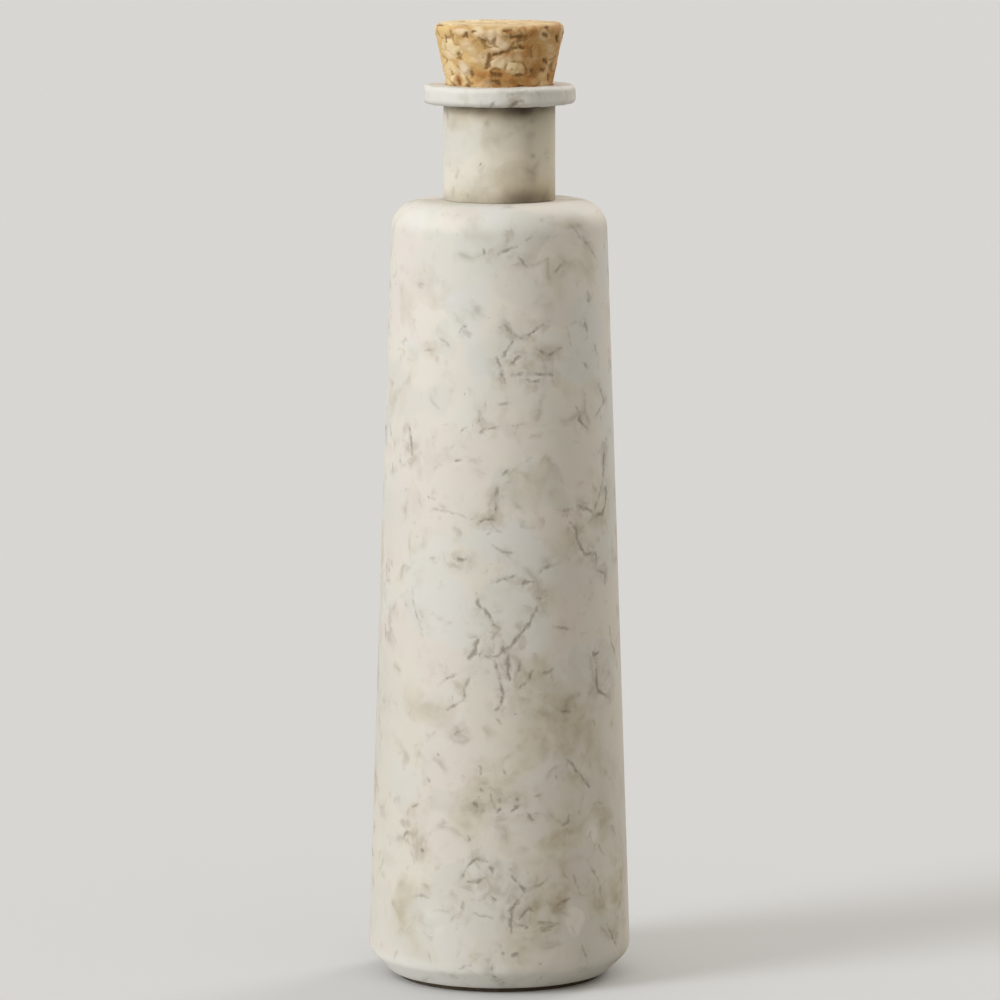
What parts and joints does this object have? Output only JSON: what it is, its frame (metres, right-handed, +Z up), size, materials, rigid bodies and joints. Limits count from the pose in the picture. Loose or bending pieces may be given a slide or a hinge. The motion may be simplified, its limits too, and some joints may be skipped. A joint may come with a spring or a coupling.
{
  "type": "apothecary vial",
  "caption": "Tall tapered marble vial with a narrow neck, a flat lip ring, a glass lining inside and a tapered cork stopper that lifts out.",
  "frame": {"origin": "centre of the foot's underside, on the surface that the vial stands on", "axes": "+Z up along the vial's axis, through the mouth; the vial is round, so X and Y are free, and -Y is taken as the front"},
  "size_m": [0.0516, 0.0516, 0.188],
  "materials": {
    "body_marble": "honed cream marble with grey-brown veins",
    "neck_marble": "honed cream marble with grey-brown veins",
    "lip_marble": "honed pale marble with faint grey veins",
    "granulated_cork": "pressed cork granules, matte",
    "cork_sheet": "fine pressed cork sheet, matte",
    "clear_glass": "clear, smooth",
    "silicone": "translucent grey, matte"
  },
  "bodies": {
    "bottle": {"foot_disc": "cork_sheet", "body_shell": "body_marble", "base_plug": "body_marble", "seat_disc": "silicone", "glass_liner": "clear_glass", "rim_gasket": "silicone", "neck": "neck_marble", "lip_ring": "lip_marble"},
    "stopper": {"cork_stopper": "granulated_cork"}
  },
  "joints": [
    {"name": "cork_lift", "type": "slide", "parent": "bottle", "child": "stopper", "axis": [0, 0, 1], "range_m": [0, 0.04]}
  ]
}
